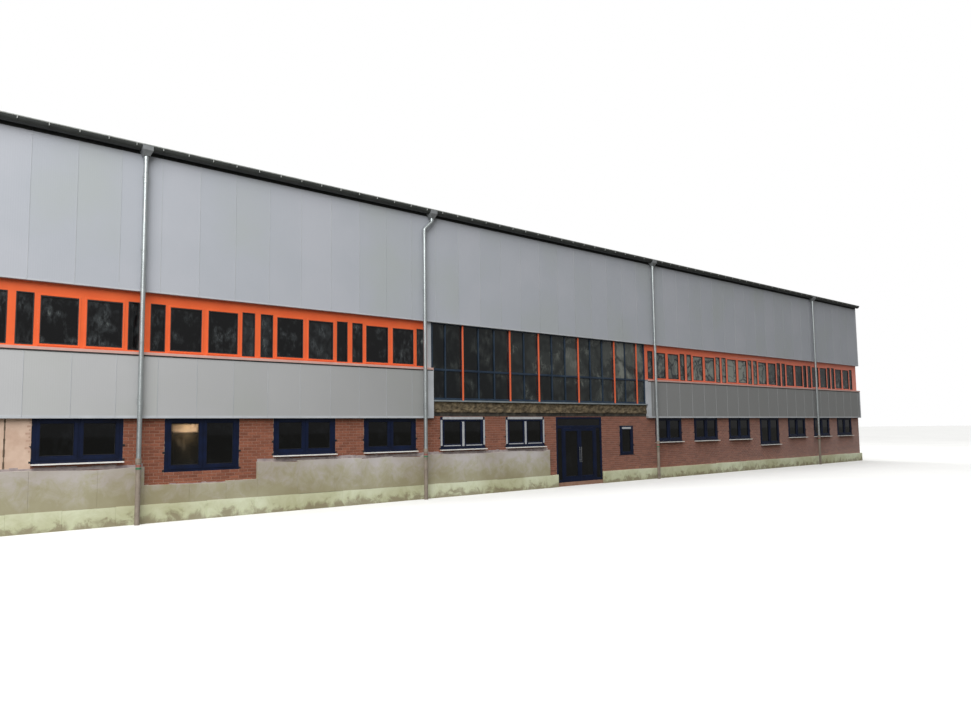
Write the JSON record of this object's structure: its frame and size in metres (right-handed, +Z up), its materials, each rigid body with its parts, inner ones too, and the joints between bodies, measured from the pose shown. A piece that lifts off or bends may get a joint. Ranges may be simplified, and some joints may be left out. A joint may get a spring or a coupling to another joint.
{
  "type": "scale model of a two-storey industrial building",
  "caption": "Long two-storey industrial building with brick base, metal cladding, ribbon windows and a glazed centre; a 1:2 model.",
  "frame": {"origin": "centre of the building's plan, on the ground", "axes": "+X along the front to the right as seen from outside, -Y out of the front, +Z up"},
  "size_m": [27.65, 9.919, 5.2453],
  "materials": {
    "concrete": "rough",
    "brick": "matt",
    "wall_block": "matt",
    "cladding": "satin",
    "orange_frame": "satin",
    "navy_frame": "satin",
    "black_frame": "satin",
    "glass": "clear",
    "sill_metal": "satin",
    "sill_white": "matt",
    "silver_trim": "satin",
    "dark_trim": "satin",
    "galvanised": "galvanised",
    "hopper_grey": "matt",
    "standpipe": "matt",
    "green_board": "matt",
    "grey_board": "matt",
    "roof_sheet": "satin"
  },
  "bodies": {
    "root": {"ground_floor_slab": "concrete", "upper_floor_slab": "concrete", "front_wall": "brick", "rear_wall": "brick", "gable_walls": "brick", "long_side_parapets": "wall_block", "gable_parapets": "wall_block", "long_side_upper_walls": "wall_block", "gable_upper_walls": "wall_block", "columns": "concrete", "roof_beams": "concrete", "lower_cladding_front": "cladding", "lower_cladding_rear": "cladding", "lower_cladding_gables": "cladding", "upper_cladding_front": "cladding", "upper_cladding_rear": "cladding", "upper_cladding_gables": "cladding", "ribbon_frames_front": "orange_frame", "ribbon_frame_rear": "orange_frame", "ribbon_frames_gables": "orange_frame", "ribbon_glass": "glass", "ribbon_sills": "sill_metal", "drip_trims": "silver_trim", "head_trims": "dark_trim", "corner_trims": "silver_trim", "curtain_wall_ledge": "sill_metal", "curtain_wall_frame": "black_frame", "curtain_wall_glass": "glass", "curtain_wall_fins": "orange_frame", "ground_window_frames": "navy_frame", "ground_window_glass": "glass", "ground_window_sills": "sill_white", "entrance_frame": "navy_frame", "entrance_doors": "navy_frame", "entrance_glass": "glass", "green_plinth_boards": "green_board", "grey_plinth_boards": "grey_board", "roof_front": "roof_sheet", "roof_rear": "roof_sheet", "ridge_cap": "roof_sheet", "verge_trims": "dark_trim", "eaves_fascias": "dark_trim", "gutters": "dark_trim", "rainwater_hoppers": "hopper_grey", "downpipes": "galvanised", "standpipes": "standpipe", "pipe_clips": "galvanised"}
  },
  "joints": []
}
